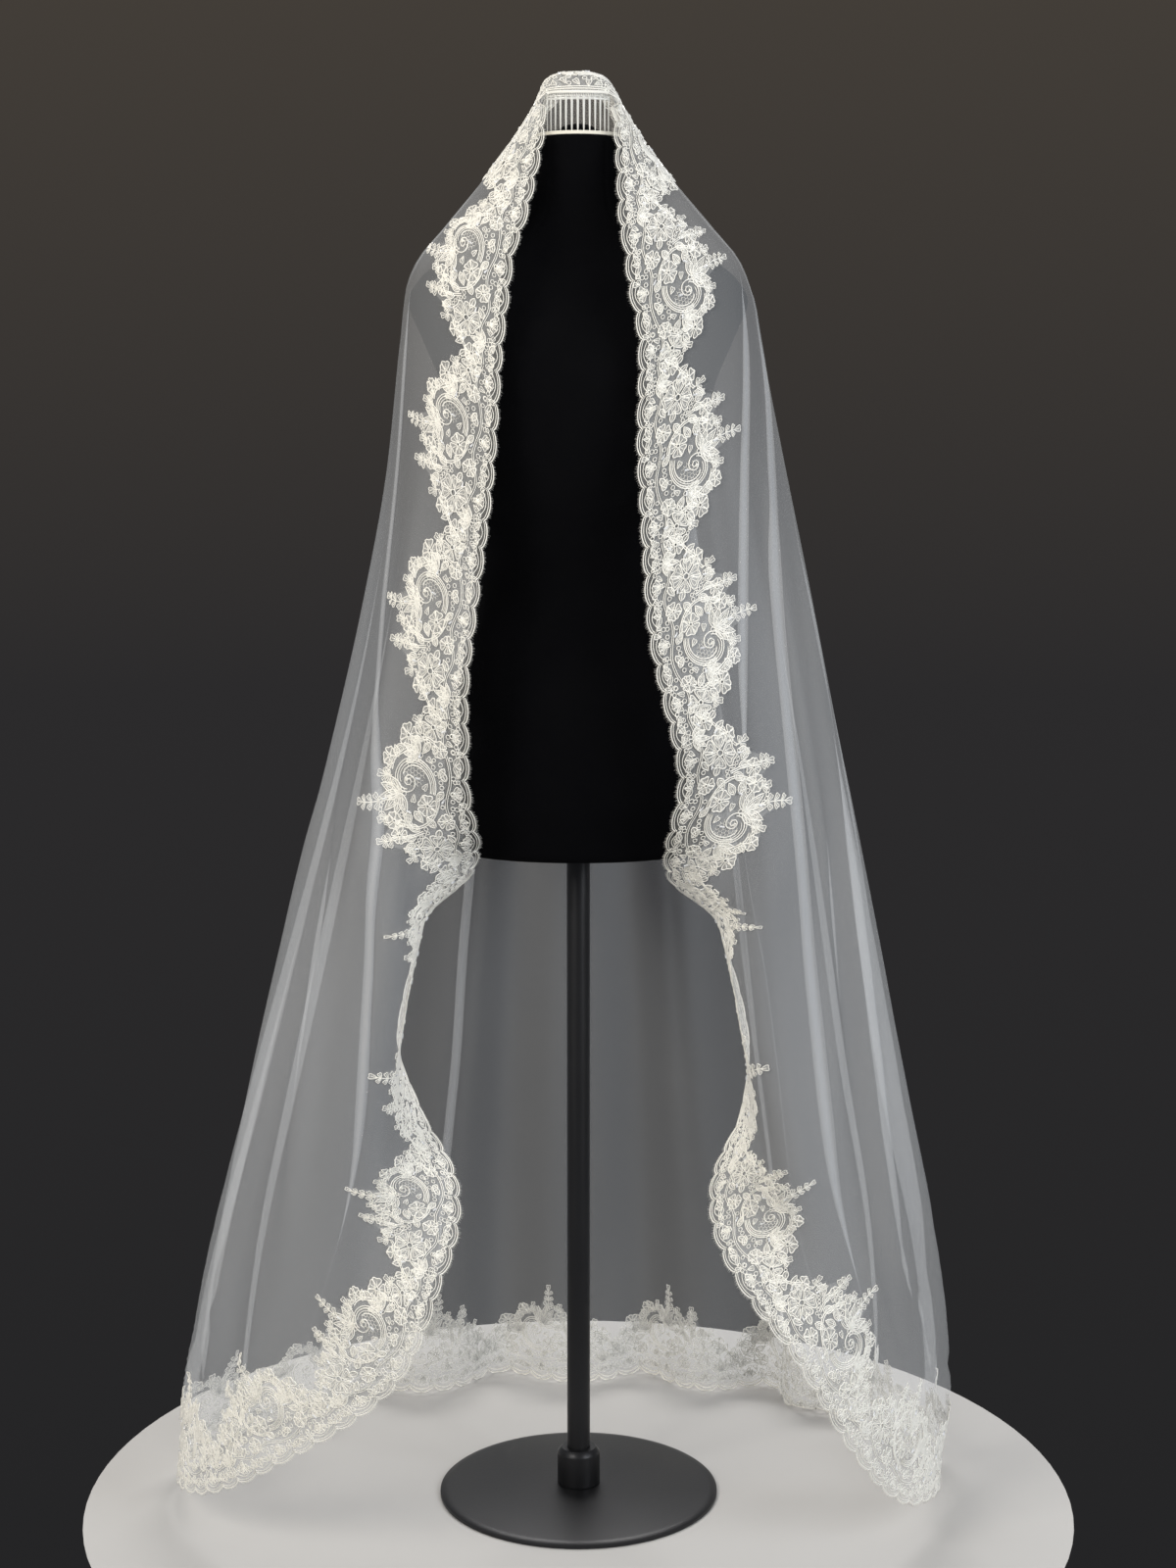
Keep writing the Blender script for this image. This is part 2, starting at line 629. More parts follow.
def hang_place(angle, hang, offset):
    """Places on the hanging veil, an offset outward from its level ellipses."""
    height = by_hang("height", hang)
    side = np.where(angle < 0.0, -1.0, 1.0)
    around = np.radians(np.abs(angle))
    half_width = by_side("", angle, hang)
    depth = np.where(np.abs(angle) < 90.0, by_hang("front", hang), by_hang("back", hang))
    x = side * (half_width + offset) * np.sin(around)
    y = -(depth + offset) * np.cos(around)
    turn_left = by_height(TURN_COLUMNS, TURNS, "left", height)
    turn_right = by_height(TURN_COLUMNS, TURNS, "right", height)
    turn = np.where(angle < 0.0, turn_left, turn_right)
    turned_x, turned_y = turned_back(side, around, hang, half_width, depth, offset, np.radians(turn))
    share = smooth_step(turn / TURN_ONSET_DEGREES)
    x = x + (turned_x - x) * share
    y = y + (turned_y - y) * share
    return np.stack((x, y, height + HEM_CLEARANCE), axis=-1)


def turned_back(side, around, hang, half_width, depth, offset, turn):
    """Level places of cloth whose front edge leaves the ellipse in a round bend and then hangs flat."""
    radius = np.maximum(mean_radius(hang), TURN_BEND)
    edge = np.radians(by_side("edge_", side, hang))
    bend_start = edge + TURN_REACH / radius
    start = np.maximum(around, bend_start)
    run = np.maximum(bend_start - around, 0.0) * radius
    pace = np.maximum(np.hypot(half_width * np.cos(start), depth * np.sin(start)), 1e-6)
    ahead = (-side * half_width * np.cos(start) / pace, -depth * np.sin(start) / pace)
    inward = (-side * depth * np.sin(start) / pace, half_width * np.cos(start) / pace)
    edge_x = -side * half_width * np.cos(edge)
    edge_y = -depth * np.sin(edge)
    own_turn = np.arctan2(edge_x * inward[0] + edge_y * inward[1], edge_x * ahead[0] + edge_y * ahead[1])
    slow = np.maximum(own_turn / TURN_REACH, 0.01)
    fast = slow + turn / TURN_BEND
    bent = np.minimum(run, TURN_BEND)
    first = fast * bent
    last = first + slow * (run - bent)
    forward = np.sin(first) / fast + (np.sin(last) - np.sin(first)) / slow
    back = (1.0 - np.cos(first)) / fast + (np.cos(first) - np.cos(last)) / slow
    out_x = side * np.sin(start)
    out_y = -np.cos(start)
    out_ahead = out_x * ahead[0] + out_y * ahead[1]
    out_inward = out_x * inward[0] + out_y * inward[1]
    forward = forward + offset * (out_ahead * np.cos(last) - out_inward * np.sin(last))
    back = back + offset * (out_ahead * np.sin(last) + out_inward * np.cos(last))
    x = side * half_width * np.sin(start) + ahead[0] * forward + inward[0] * back
    y = -depth * np.cos(start) + ahead[1] * forward + inward[1] * back
    return x, y


def crease_offset(angle, hang):
    """How far the small creases move the cloth outward."""
    height = by_hang("height", hang)
    radius = mean_radius(hang)
    offset = np.zeros_like(angle)
    for crease in CREASE_LIST:
        run = (crease["height_start"] - height) / (crease["height_start"] - crease["height_end"])
        if not np.any((run > 0.0) & (run < 1.0)):
            continue
        run = np.clip(run, 0.0, 1.0)
        centre = crease["angle_start"] + (crease["angle_end"] - crease["angle_start"]) * run
        across = np.radians(wrapped(angle - centre)) * radius / crease["half_width"]
        offset += crease["depth"] * np.sin(np.pi * run) ** 0.7 * np.exp(-across ** 2)
    return offset * smooth_step(past_edge(angle, hang) / CREASE_FADE)


def cloth_place(angle, hang, lift=0.0):
    """Places on the hanging veil with its folds and creases, lifted off by a little."""
    return hang_place(angle, hang, fold_offset(angle, hang) + crease_offset(angle, hang) + lift)


def drape(flat):
    """Places on the hanging veil of flat sheet points."""
    angle, hang = drape_angle_and_hang(np.asarray(flat, float))
    return cloth_place(angle, hang)


def outward(flat, step=0.0006):
    """Outward direction of the hanging veil at flat sheet points."""
    side, down = (drape(flat + move) - drape(flat - move) for move in np.eye(2) * step)
    return unit_vectors(np.cross(down, side))


def stretch_along(flat, heading, step=0.0005):
    """How much longer a short flat move becomes on the hanging veil."""
    change = drape(flat + heading * step) - drape(flat - heading * step)
    return np.linalg.norm(change, axis=-1, keepdims=True) / (2.0 * step)


def border_line():
    """Flat points of the veil's whole free edge, from the comb down the left side and round."""
    sides = []
    for sign, column in ((-1.0, "edge_left"), (1.0, "edge_right")):
        comb_angles = np.linspace(0.0, COMB_EDGE_ANGLE, 12)
        edge_hangs = np.linspace(float(hang_at(EDGE_START_HEIGHT)), HANG_LENGTH, 400)
        edge_angles = by_hang(column, edge_hangs)
        hem_angles = np.linspace(edge_angles[-1], 180.0, 60)[1:]
        angles = sign * np.concatenate((comb_angles, edge_angles, hem_angles))
        comb_hangs = np.full(len(comb_angles), COMB_HANG)
        hem_hangs = np.full(len(hem_angles), HANG_LENGTH)
        sides.append(flat_point(angles, np.concatenate((comb_hangs, edge_hangs, hem_hangs))))
    left, right = sides
    loop = np.concatenate((left, right[::-1][1:-1]))
    return round_corners(evenly_spaced(loop, BORDER_SPACING), CORNER_ROUNDING)


def evenly_spaced(loop, spacing):
    """Resample a closed flat line so that its hanging points are evenly spaced."""
    closed = np.concatenate((loop, loop[:1]))
    hung = drape(closed)
    lengths = np.concatenate(([0.0], np.cumsum(np.linalg.norm(np.diff(hung, axis=0), axis=1))))
    count = int(round(lengths[-1] / spacing))
    wanted = np.arange(count) * lengths[-1] / count
    return np.stack([np.interp(wanted, lengths, closed[:, axis]) for axis in (0, 1)], axis=-1)


def round_corners(loop, reach):
    """Round a closed line's corners by averaging each point with its neighbours."""
    reach_count = max(1, int(round(reach / BORDER_SPACING)))
    shifted = [np.roll(loop, shift, axis=0) for shift in range(-reach_count, reach_count + 1)]
    return np.mean(shifted, axis=0)


class LaceChart:
    """The hanging surface by length along the free edge and distance inward from it."""

    def __init__(self):
        line = evenly_spaced(border_line(), CHART_STEP)
        hung = drape(line)
        self.length = float(np.linalg.norm(hung - np.roll(hung, 1, axis=0), axis=1).sum())
        self.count = len(line)
        along = np.roll(line, -HEADING_POINTS, axis=0) - np.roll(line, HEADING_POINTS, axis=0)
        heading = unit_vectors(left_of(along))
        rows = [line]
        for _ in range(int(round(LACE_REACH / CHART_ROW_STEP))):
            rows.append(rows[-1] + heading * CHART_ROW_STEP / stretch_along(rows[-1], heading))
        flat = np.stack(rows, axis=1)
        self.place = drape(flat)
        self.normal = outward(flat)
        self.repeats = int(round(self.length / LACE_REPEAT))
        self.repeat = self.length / self.repeats

    def read(self, grid, along, inward):
        """One of the chart's grids between its points."""
        place = along / self.length * self.count
        first = np.floor(place).astype(int)
        row = inward / CHART_ROW_STEP
        low = np.clip(np.floor(row).astype(int), 0, grid.shape[1] - 2)
        mix_along = (place - first)[:, None]
        mix_row = (row - low)[:, None]
        near, far = (
            grid[column, low] * (1.0 - mix_row) + grid[column, low + 1] * mix_row
            for column in (first % self.count, (first + 1) % self.count)
        )
        return near * (1.0 - mix_along) + far * mix_along

    def hang(self, along, inward, lift):
        """Places of lace points: along and inward on the cloth, lift away from it, clear of the floor."""
        normal = unit_vectors(self.read(self.normal, along, np.maximum(inward, 0.0)))
        place = self.read(self.place, along, inward) + normal * lift[:, None]
        below = np.maximum(FLOOR_CLEARANCE - place[:, 2], 0.0)
        place += normal * (1.0, 1.0, 0.0) * below[:, None]
        place[:, 2] += below
        return place


class LaceUnit:
    """Lace work in chart places (along, inward and lift): meshes of cord and filling, and their lines."""

    def __init__(self):
        self.cord = []
        self.fill = []
        self.marks = []

    def add_cord(self, line, radius, closed=False, lift=CORD_LIFT):
        """A raised cord along a line of chart points, open where it lies on the net."""
        line = np.asarray(line, float)
        ahead = np.roll(line, -1, axis=0)
        behind = np.roll(line, 1, axis=0)
        if not closed:
            ahead[-1] = line[-1]
            behind[0] = line[0]
        along = ahead - behind
        along = along / np.maximum(np.linalg.norm(along, axis=1, keepdims=True), 1e-9)
        count = len(line)
        points = np.zeros((count, 3, 3))
        for side in range(3):
            turn = math.radians(90.0 + 120.0 * side)
            points[:, side, :2] = line + left_of(along) * radius * math.cos(turn)
            points[:, side, 2] = lift + radius * math.sin(turn)
        faces = []
        for index in range(count if closed else count - 1):
            low = index * 3
            after = (index + 1) % count * 3
            faces.append((low, after, after + 1, low + 1))
            faces.append((low + 2, after + 2, after, low))
        if not closed:
            last = (count - 1) * 3
            faces.append((2, 1, 0))
            faces.append((last, last + 1, last + 2))
        self.cord.append((points.reshape(-1, 3), faces))
        self.marks.append(line)

    def add_fill(self, outline):
        """A softly domed patch of thread inside a closed outline."""
        centre = outline.mean(axis=0)
        inner = centre + (outline - centre) * FILL_SHOULDER_SHARE
        count = len(outline)
        rings = ((outline, 0.0), (inner, FILL_SHOULDER), (centre[None], FILL_CROWN))
        points = [np.column_stack((ring, np.full(len(ring), FILL_LIFT + rise))) for ring, rise in rings]
        faces = []
        for index in range(count):
            after = (index + 1) % count
            faces.append((index, after, count + after, count + index))
            faces.append((count + index, count + after, 2 * count))
        if polygon_area(outline) >= 0.0:
            faces = [tuple(reversed(face)) for face in faces]
        self.fill.append((np.concatenate(points), faces))
        self.marks.append(np.concatenate((outline, inner, centre[None])))

    def petal(self, base, turn, length, width, pointed, cord=CORD, inner=True, vein=True, steps=8):
        """One corded petal or leaf with its filling, inner cord and vein."""
        outline = petal_line(base, turn, length, width, pointed, steps)
        self.add_fill(outline)
        self.add_cord(outline, cord, closed=True)
        if inner:
            start = along_turn(base, turn, length * INNER_START)
            size = (length * INNER_LENGTH, width * INNER_WIDTH)
            self.add_cord(petal_line(start, turn, *size, pointed, steps - 2), FINE_CORD, closed=True)
        if vein:
            line = [along_turn(base, turn, length * share) for share in VEIN_SHARES]
            self.add_cord(line, FINE_CORD, lift=VEIN_LIFT)

    def leaf(self, base, turn, length, width):
        """A pointed leaf; a long one has an inner cord."""
        self.petal(base, turn, length, width, True, inner=length > LONG_LEAF)

    def leaflet(self, base, turn, length, width, pointed=False, steps=8):
        """A small leaf or petal of fine cord with a vein."""
        self.petal(base, turn, length, width, pointed, FINE_CORD, inner=False, steps=steps)

    def blossom(self, centre, radius, petals, turn):
        """An open flower of rounded petals round a ring."""
        width = 2.0 * radius * math.sin(math.pi / petals) * 0.90
        for index in range(petals):
            angle = turn + 360.0 * index / petals + PETAL_STRAY * math.sin(2.3 * index + turn)
            base = along_turn(centre, angle, radius * 0.20)
            reach = radius * (0.88 - 0.11 * (index % 2))
            inner, vein = radius > WIDE_BLOSSOM, radius > VEINED_BLOSSOM
            self.petal(base, angle, reach, width, False, inner=inner, vein=vein)
        self.ring(centre, radius * 0.19, CORD, lift=CORD_LIFT + 0.0009)

    def water_lily(self, base, turn, length, petals, spread):
        """A half-open flower of pointed petals fanned from one base."""
        order = sorted(range(petals), key=lambda index: -abs(index - (petals - 1) / 2.0))
        for index in order:
            share = index / (petals - 1.0) - 0.5
            reach = length * (1.0 - 0.28 * abs(share) * 2.0 * (0.6 + 0.4 * (index % 2)))
            self.petal(base, turn + spread * share, reach, length * 0.34, True)
        for side in (-30.0, 30.0):
            self.ring(along_turn(base, turn + 180.0 + side, 0.004), 0.0024)

    def ring(self, centre, radius, cord=FINE_CORD, lift=CORD_LIFT):
        """A small worked ring."""
        turns = np.linspace(0.0, 2.0 * math.pi, 10)[:-1]
        line = np.array(centre) + radius * np.column_stack((np.cos(turns), np.sin(turns)))
        self.add_cord(line, cord, closed=True, lift=lift)

    def ring_arc(self, centre, radius, start, end, count, size):
        """Worked rings in a row along an arc."""
        for angle in np.linspace(start, end, count):
            self.ring(along_turn(centre, angle, radius), size)

    def vine(self, controls, cord):
        """A smooth stem through a few points, in two strands side by side."""
        line = smooth_line(controls)
        across = left_of(unit_vectors(np.gradient(line, axis=0)))
        for side in (-0.5, 0.5):
            self.add_cord(line + across * side * VINE_GAP, cord)

    def scroll(self):
        """The big scroll of parallel cords that curls in to a small ring."""
        heading = math.radians(SCROLL_HEADING)
        stride = SCROLL_LENGTH / SCROLL_STEPS
        points = [np.array(SCROLL_START)]
        for index in range(SCROLL_STEPS):
            closing = (index / SCROLL_STEPS) ** SCROLL_CLOSING
            heading -= stride / (SCROLL_RADIUS * (SCROLL_END_RADIUS / SCROLL_RADIUS) ** closing)
            points.append(points[-1] + stride * np.array((math.cos(heading), math.sin(heading))))
        line = np.array(points)
        inside = -left_of(unit_vectors(np.gradient(line, axis=0)))
        self.add_cord(line, EDGE_CORD)
        for strand in range(1, SCROLL_STRANDS):
            last = int(SCROLL_STEPS * (0.80 - 0.10 * strand))
            gap = SCROLL_GAP * strand * np.linspace(0.6, 1.0, last)[:, None]
            self.add_cord(line[:last] + inside[:last] * gap, CORD if strand % 2 else FINE_CORD)
        self.ring(line[-1], SCROLL_END_RADIUS * 0.5, CORD)

    def spray(self, base, turn, length, pairs, bend):
        """A leafy tip: a bent stem with leaves in pairs and one at its end."""
        turns = np.radians(turn + bend * np.linspace(0.0, 1.0, SPRAY_POINTS))
        steps = np.column_stack((np.cos(turns), np.sin(turns))) * length / SPRAY_POINTS
        stem = np.concatenate(([base], np.array(base) + np.cumsum(steps, axis=0)))
        self.add_cord(stem, CORD)
        for pair in range(pairs):
            share = (pair + 0.6) / pairs
            size = SPRAY_LEAF * (1.0 - 0.28 * share)
            for side in (-SPRAY_LEAF_TURN, SPRAY_LEAF_TURN):
                place = stem[int(share * (SPRAY_POINTS - 1))]
                self.leaflet(place, turn + bend * share + side, size, size * 0.56, steps=5)
        self.leaflet(stem[-2], turn + bend, *SPRAY_TIP, steps=6)


def along_turn(start, turn, length):
    """The point at a distance from another, in a direction in degrees."""
    angle = math.radians(turn)
    return np.array((start[0] + length * math.cos(angle), start[1] + length * math.sin(angle)))


def polygon_area(line):
    """Signed area of a closed line."""
    after = np.roll(line, -1, axis=0)
    return 0.5 * float(np.sum(line[:, 0] * after[:, 1] - after[:, 0] * line[:, 1]))


def petal_line(base, turn, length, width, pointed, steps):
    """Closed outline of a petal, round-ended or pointed."""
    shares = np.linspace(0.0, 1.0, steps + 1)
    if pointed:
        swell = np.sin(np.pi * shares ** 0.85) * (1.0 - 0.25 * shares)
    else:
        swell = np.sin(np.pi * shares ** 1.30) ** 0.72
        shares = np.sin(0.5 * np.pi * shares)
        shares[-1] = 0.89
    swell = swell / swell.max()
    x = np.concatenate((shares, shares[-2:0:-1])) * length
    y = np.concatenate((swell, -swell[-2:0:-1])) * width / 2.0
    cosine = math.cos(math.radians(turn))
    sine = math.sin(math.radians(turn))
    return np.column_stack((base[0] + x * cosine - y * sine, base[1] + x * sine + y * cosine))


def smooth_line(controls, spacing=0.0035):
    """A smooth curve through a few points, evenly spaced."""
    controls = np.asarray(controls, float)
    padded = np.concatenate(([2 * controls[0] - controls[1]], controls, [2 * controls[-1] - controls[-2]]))
    points = []
    for index in range(len(controls) - 1):
        a, b, c, d = padded[index:index + 4]
        count = max(2, int(np.linalg.norm(c - b) / spacing))
        for share in np.linspace(0.0, 1.0, count, endpoint=False):
            low = 2.0 * b + (c - a) * share + (2.0 * a - 5.0 * b + 4.0 * c - d) * share ** 2
            points.append(0.5 * (low + (3.0 * b - a - 3.0 * c + d) * share ** 3))
    points.append(controls[-1])
    return np.array(points)


def scallop_curve(depth, share):
    """How far a scallop of the free edge draws back at a share of its width."""
    return depth * (1.0 - np.sin(np.pi * share) ** SCALLOP_FULLNESS)


def scallop_reach(share):
    """How far the free edge draws back at a share of the repeat."""
    share = share % 1.0
    for scallop in named_rows(SCALLOP_COLUMNS, SCALLOPS):
        if scallop["start"] <= share <= scallop["end"]:
            width = scallop["end"] - scallop["start"]
            return scallop_curve(scallop["depth"], (share - scallop["start"]) / width)
    return 0.0


def leaf_reach(share):
    """How far the lace reaches inward at a share of the repeat."""
    rows = LEAF_EDGE + ((1.0, LEAF_EDGE[0][1]),)
    return float(np.interp(share % 1.0, [row[0] for row in rows], [row[1] for row in rows]))


def make_unit(repeat):
    """The inner part of one repeat, without its scalloped edge."""
    unit = LaceUnit()
    unit.scroll()
    motifs = (
        (unit.water_lily, LILY_COLUMNS, LILIES),
        (unit.blossom, BLOSSOM_COLUMNS, BLOSSOMS),
        (unit.spray, SPRAY_COLUMNS, SPRAYS),
        (unit.leaf, LEAF_COLUMNS, LEAVES),
        (unit.ring_arc, RING_ARC_COLUMNS, RING_ARCS),
    )
    for draw, columns, rows in motifs:
        for row in named_rows(columns, rows):
            draw((row.pop("along"), row.pop("inward")), **row)
    for index, controls in enumerate(VINES):
        unit.vine(controls, FINE_CORD if index == 0 else CORD)
    add_net_window(unit)
    add_fillers(unit, repeat)
    return unit


def add_net_window(unit):
    """Coarse six-sided net in the middle of the scroll."""
    side = NET_MESH * NET_SIDE_SHARE
    rows = int(NET_REACH[1] / NET_MESH) + 2
    columns = int(NET_REACH[0] / NET_MESH) + 2
    for row in range(-rows, rows + 1):
        for column in range(-columns, columns + 1):
            along = (column + 0.5 * (row % 2)) * NET_MESH
            inward = row * NET_MESH * math.sqrt(3.0) / 2.0
            if math.hypot(along / NET_REACH[0], inward / NET_REACH[1]) > 1.0:
                continue
            cell = (NET_CENTRE[0] + along, NET_CENTRE[1] + inward)
            for turn in (30.0, 90.0, 150.0):
                ends = [along_turn(cell, turn, side), along_turn(cell, turn + 60.0, side)]
                unit.add_cord(ends, NET_CORD, lift=NET_LIFT + NET_CORD)


def with_neighbours(line, repeat):
    """The points of a line in one repeat and in the repeats before and after it."""
    return np.concatenate((line, line + (repeat, 0.0), line - (repeat, 0.0)))


def add_fillers(unit, repeat):
    """Small rings and leaflets wherever the motifs leave room for them."""
    chance = random.Random(FILLER_SEED)
    taken = with_neighbours(np.concatenate([dense_line(line) for line in unit.marks]), repeat)
    for _ in range(FILLER_TRIES):
        along = chance.uniform(0.0, repeat)
        inward = chance.uniform(*FILLER_SPAN)
        turn = chance.uniform(0.0, 360.0)
        if inward > leaf_reach(along / repeat) - FILLER_INSET:
            continue
        from_net = ((along - NET_CENTRE[0]) / NET_REACH[0], (inward - NET_CENTRE[1]) / NET_REACH[1])
        if math.hypot(*from_net) < FILLER_NET_RATIO:
            continue
        room = np.min(np.hypot(taken[:, 0] - along, taken[:, 1] - inward))
        before = len(unit.marks)
        if room > LEAFLET_ROOM:
            unit.leaflet(along_turn((along, inward), turn, -LEAFLET_MIDDLE), turn, *LEAFLET_SIZE)
        elif room > RING_ROOM:
            unit.ring((along, inward), min(room - RING_CLEARANCE, FILLER_RING))
        for line in unit.marks[before:]:
            taken = np.concatenate((taken, with_neighbours(dense_line(line), repeat)))


def dense_line(line, spacing=0.0012):
    """The same line with points close together."""
    points = [line[:1]]
    for start, end in zip(line[:-1], line[1:]):
        count = max(1, int(np.linalg.norm(end - start) / spacing))
        shares = np.linspace(0.0, 1.0, count + 1)[1:, None]
        points.append(start + (end - start) * shares)
    return np.concatenate(points)


def make_scallop(scallop, repeat):
    """One scallop of the free edge: cords, shell petals or leaves, rings and a lashed rim."""
    unit = LaceUnit()
    start = scallop["start"] * repeat
    width = scallop["end"] * repeat - start
    middle = start + width / 2.0
    shares = np.linspace(0.0, 1.0, 13)
    rim = np.column_stack((start + shares * width, scallop_curve(scallop["depth"], shares)))
    unit.add_cord(rim, EDGE_CORD)
    unit.add_cord(rim + (0.0, RIM_GAP), FINE_CORD)
    shares = shares[1:-1]
    bow = BOW_FOOT - BOW_RISE * np.sin(np.pi * shares)
    unit.add_cord(np.column_stack((start + shares * width, bow)), FINE_CORD)
    if width > SHELL_WIDTH:
        for turn, length in SHELL_PETALS:
            unit.leaflet((middle, SHELL_FOOT), turn, length, 0.0072)
        unit.ring((middle, SHELL_FOOT), 0.0024, CORD, lift=CORD_LIFT + 0.0006)
    else:
        for turn, length in SHELL_LEAVES:
            unit.leaflet((middle, 0.0165), turn, length, 0.0062, pointed=True)
    for share, inward, radius in SCALLOP_RINGS:
        unit.ring((start + width * share, inward), radius)
    add_lashes(unit, scallop, start, width)
    return unit


def add_lashes(unit, scallop, start, width):
    """Short loose threads all along the rim of a scallop."""
    chance = random.Random(int(scallop["start"] * 1000))
    count = int(width / LASH_SPACING)
    for index in range(count):
        share = (index + 0.5) / count
        along = start + share * width
        inward = scallop_curve(scallop["depth"], share)
        lean = (share - 0.5) * LASH_FAN + chance.uniform(-14.0, 14.0)
        tip = along_turn((along, inward), -90.0 + lean, LASH_LENGTH * chance.uniform(0.6, 1.15))
        points = [
            (along - LASH_THICKNESS, inward, LASH_LIFT),
            (along + LASH_THICKNESS, inward, LASH_LIFT),
            (along, inward, LASH_LIFT + LASH_THICKNESS * 1.7),
            (tip[0], tip[1], LASH_TIP_LIFT + chance.uniform(-0.0005, 0.0008)),
        ]
        unit.cord.append((points, [(2, 1, 0), (1, 3, 0), (2, 3, 1), (0, 3, 2)]))


def make_repeat(repeat, skip):
    """The cords and fillings of one repeat, without the scallops whose middle a test leaves out."""
    units = [make_unit(repeat)]
    for scallop in named_rows(SCALLOP_COLUMNS, SCALLOPS):
        if not skip((scallop["start"] + scallop["end"]) * repeat / 2.0):
            units.append(make_scallop(scallop, repeat))
    cords = join_meshes([mesh for unit in units for mesh in unit.cord])
    fills = join_meshes([mesh for unit in units for mesh in unit.fill])
    return cords, fills


def make_beads():
    """Short clear tube beads sewn among the motifs of one repeat."""
    unit = LaceUnit()
    for bead in named_rows(BEAD_COLUMNS, BEADS):
        start = (bead["along"], bead["inward"])
        end = along_turn(start, bead["turn"], BEAD_LENGTH)
        unit.add_cord([start, end], BEAD_RADIUS, lift=CORD_LIFT + BEAD_RADIUS)
    return join_meshes(unit.cord)


def add_piece(name, points, faces, material, slot):
    """A mesh that rides on the part and takes its finish from one slot."""
    mesh = bpy.data.meshes.new(name)
    mesh.from_pydata(np.asarray(points).tolist(), [], faces)
    mesh.shade_smooth()
    mesh.materials.append(material)
    piece = bpy.data.objects.new(name, mesh)
    bpy.context.scene.collection.objects.link(piece)
    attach(piece, "root")
    return piece


def hang_lace(chart, mesh, first, count):
    """Points and faces of lace work on the veil, repeated a number of times."""
    pattern, faces = mesh
    hung = []
    for index in range(first, first + count):
        along = pattern[:, 0] + index * chart.repeat
        hung.append((chart.hang(along, pattern[:, 1], pattern[:, 2]), faces))
    return join_meshes(hung)


def make_lace_ground(chart, first, last):
    """The net that one length of lace is worked on, from its scallops to its leafy inner edge."""
    columns = int(round((last - first) * chart.repeat / GROUND_SPACING)) + 1
    along = np.linspace(first * chart.repeat + LENGTH_GAP, last * chart.repeat - LENGTH_GAP, columns)
    shares = along / chart.repeat
    outer = np.array([scallop_reach(share) for share in shares]) + CORD
    centred = (along + chart.length / 2.0) % chart.length - chart.length / 2.0
    outer = np.where(np.abs(centred) < COMB_STRAIGHT, CORD, outer)
    inner = np.array([leaf_reach(share) for share in shares]) - GROUND_INSET
    points = []
    for row in np.linspace(0.0, 1.0, GROUND_ROWS):
        inward = outer + (inner - outer) * row
        points.append(chart.hang(along, inward, np.full(columns, NET_LIFT)))
    length = float(along[-1] - along[0])
    flat_area = float((inner - outer).mean()) * length
    return np.concatenate(points), grid_faces(GROUND_ROWS, columns), (length, flat_area)


def grid_faces(rows, columns):
    """Faces of a grid of points listed row by row."""
    faces = []
    for row in range(rows - 1):
        for column in range(columns - 1):
            low = row * columns + column
            faces.append((low, low + columns, low + columns + 1, low + 1))
    return faces


def make_lace(chart, materials):
    """The five lengths of lace, each with its cords, fillings, beads and net."""
    usual = make_repeat(chart.repeat, lambda middle: False)
    before_comb = make_repeat(chart.repeat, lambda middle: middle > chart.repeat - COMB_STRAIGHT)
    after_comb = make_repeat(chart.repeat, lambda middle: middle < COMB_STRAIGHT)
    beads = make_beads()
    joins = [int(round(share * chart.repeats)) for share in LACE_JOINS]
    ends = joins[1:] + [joins[0] + chart.repeats]
    for name, first, last in zip(LACE_NAMES, joins, ends):
        runs = [(first, last - first, usual)]
        if name == "lace_crown":
            comb = chart.repeats
            runs = [
                (first, comb - 1 - first, usual),
                (comb - 1, 1, before_comb),
                (comb, 1, after_comb),
                (comb + 1, last - comb - 1, usual),
            ]
        cords = [hang_lace(chart, patterns[0], start, count) for start, count, patterns in runs]
        fills = [hang_lace(chart, patterns[1], start, count) for start, count, patterns in runs]
        if name == "lace_crown":
            cords.append(hang_lace(chart, make_comb_cords(), 0, 1))
        bead_mesh = hang_lace(chart, beads, first, last - first)
        cord_piece = add_piece(name + "_cords", *join_meshes(cords), materials["cord"], "lace")
        fill_piece = add_piece(name + "_fillings", *join_meshes(fills), materials["filling"], "lace")
        bead_piece = add_piece(name + "_beads", *bead_mesh, materials["bead"], "lace")
        points, faces, (length, area) = make_lace_ground(chart, first, last)
        ground = add_piece(name + "_net", points, faces, materials["net"], "lace")
        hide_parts(name)


def make_comb_cords():
    """The thick straight corded edge over the comb."""
    unit = LaceUnit()
    along = np.arange(-COMB_CORD_REACH, COMB_CORD_REACH + 0.001, 0.004)
    for inward, cord in COMB_CORDS:
        line = np.column_stack((along, np.full(len(along), inward)))
        unit.add_cord(line, cord, lift=CORD_LIFT + cord * 0.4)
    return join_meshes(unit.cord)


def join_meshes(meshes):
    """Several lists of points and faces as one."""
    points = []
    faces = []
    count = 0
    for mesh_points, mesh_faces in meshes:
        points.append(mesh_points)
        faces += [tuple(corner + count for corner in face) for face in mesh_faces]
        count += len(mesh_points)
    return np.concatenate(points), faces


def pleat_state(height):
    """Angles from the back centre and widths of the pleats at a height."""
    angles = []
    widths = []
    for name, run in zip(PLEAT_NAMES, named_rows(PLEAT_RUN_COLUMNS, PLEAT_RUNS)):
        angle = by_height(PLEAT_COLUMNS, PLEAT_PATHS, name, height)
        angles.append(np.where(angle < 0.0, -1.0, 1.0) * (180.0 - np.abs(angle)))
        opening = smooth_step((run["start_height"] - height) / 0.10)
        closing = smooth_step((height - run["end_height"]) / 0.22)
        widths.append(np.maximum(run["width"] * opening * closing, PLEAT_LEAST_WIDTH))
    return angles, widths


